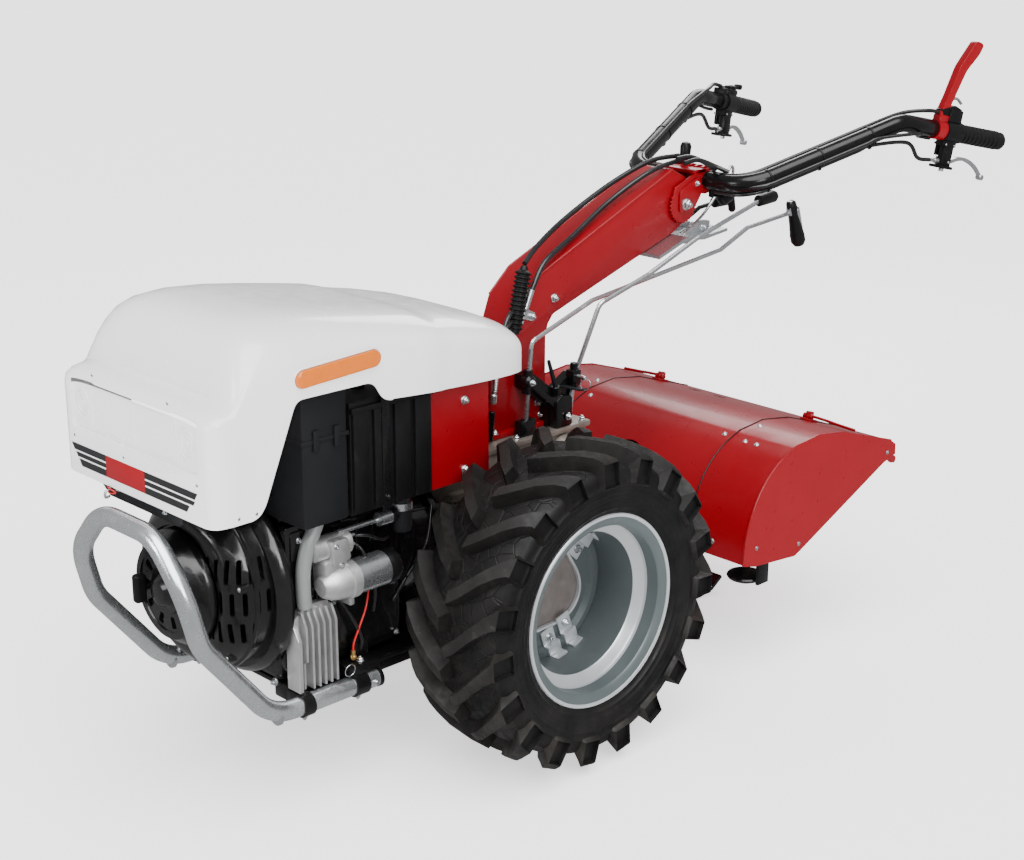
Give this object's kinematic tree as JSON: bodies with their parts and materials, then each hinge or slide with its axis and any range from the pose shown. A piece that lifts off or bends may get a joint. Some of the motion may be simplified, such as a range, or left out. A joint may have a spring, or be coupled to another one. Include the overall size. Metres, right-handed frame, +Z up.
{
  "type": "walking tractor with rear tiller",
  "caption": "Walking tractor with an engine under a moulded hood, driven wheels, a tilting handlebar on an upright column and a covered rear tiller.",
  "frame": {"origin": "on the ground at the centre of the whole machine's bounding box", "axes": "+X is the machine's left, -Y is forward, +Z is up"},
  "size_m": [0.8, 1.9326, 1.1441],
  "materials": {
    "hood_white": "gloss",
    "red_paint": "gloss paint",
    "black_paint": "satin paint",
    "black_aluminium": "painted casting",
    "black_plastic": "satin",
    "dark_plastic": "fine grain",
    "tyre_rubber": "matte",
    "grip_rubber": "matte",
    "rim_silver": "satin silver paint",
    "hub_grey": "raw casting",
    "zinc": "zinc plated",
    "cast_aluminium": "as cast",
    "cast_brown": "painted casting",
    "red_cast_iron": "gloss paint",
    "amber": "gloss",
    "steel": "satin"
  },
  "bodies": {
    "frame": {"air_filter_box": "dark_plastic", "battery": "black_plastic", "bumper": "zinc", "cable_sleeve": "black_plastic", "clutch_housing": "black_aluminium", "column": "red_paint", "column_cable": "black_plastic", "depth_skid": "black_paint", "dipstick": "zinc", "engine_base": "black_aluminium", "engine_block": "black_aluminium", "fan_housing": "black_plastic", "fuel_filter": "zinc", "fuel_tank": "black_plastic", "gear_rod": "zinc", "hood_hinge_bracket": "black_paint", "hood_latch_bracket": "black_paint", "intake_pipe": "cast_aluminium", "left_tiller_end": "red_paint", "muffler": "steel", "pto_lever": "black_plastic", "range_rod": "zinc", "rear_panel": "red_paint", "recoil_cover": "black_plastic", "regulator": "cast_aluminium", "right_tiller_end": "red_paint", "rod_guide": "zinc", "selector_bracket": "black_paint", "starter_motor": "steel", "starter_solenoid": "cast_aluminium", "tiller_cover": "red_paint", "tiller_gear_case": "red_cast_iron", "transmission_case": "cast_brown"},
    "left_wheel": {"left_tyre": "tyre_rubber", "left_rim": "rim_silver", "left_wheel_disc": "rim_silver", "left_hub": "hub_grey"},
    "right_wheel": {"right_tyre": "tyre_rubber", "right_rim": "rim_silver", "right_wheel_disc": "rim_silver", "right_hub": "hub_grey"},
    "hood_body": {"hood": "hood_white", "left_side_marker": "amber", "right_side_marker": "amber"},
    "bar": {"handlebar_clamp": "red_paint", "handlebar": "black_paint", "dead_man_lever": "red_paint", "throttle_lever": "black_plastic", "left_grip": "grip_rubber", "left_lever_block": "black_plastic", "left_brake_lever": "zinc", "left_bar_cable": "black_plastic", "right_grip": "grip_rubber", "right_lever_block": "black_plastic", "right_brake_lever": "zinc", "right_bar_cable": "black_plastic"},
    "tiller_rotor": {"left_rotor": "black_paint", "right_rotor": "black_paint"},
    "flap": {"rear_flap": "red_paint"}
  },
  "joints": [
    {"name": "left_wheel_spin", "type": "hinge", "parent": "frame", "child": "left_wheel", "pos_m": [0.295, -0.27784, 0.29], "axis": [1, 0, 0], "continuous": true},
    {"name": "right_wheel_spin", "type": "hinge", "parent": "frame", "child": "right_wheel", "pos_m": [-0.295, -0.27784, 0.29], "axis": [1, 0, 0], "continuous": true},
    {"name": "hood_hinge", "type": "hinge", "parent": "frame", "child": "hood_body", "pos_m": [0, -0.27784, 0.69], "axis": [-1, 0, 0], "range_deg": [0, 50]},
    {"name": "handlebar_tilt", "type": "hinge", "parent": "frame", "child": "bar", "pos_m": [0, 0.29416, 0.862], "axis": [1, 0, 0], "range_deg": [-12, 18]},
    {"name": "rotor_spin", "type": "hinge", "parent": "frame", "child": "tiller_rotor", "pos_m": [0, 0.29416, 0.3], "axis": [1, 0, 0], "continuous": true},
    {"name": "flap_hinge", "type": "hinge", "parent": "frame", "child": "flap", "pos_m": [0, 0.62216, 0.356], "axis": [1, 0, 0], "range_deg": [0, 60]}
  ]
}
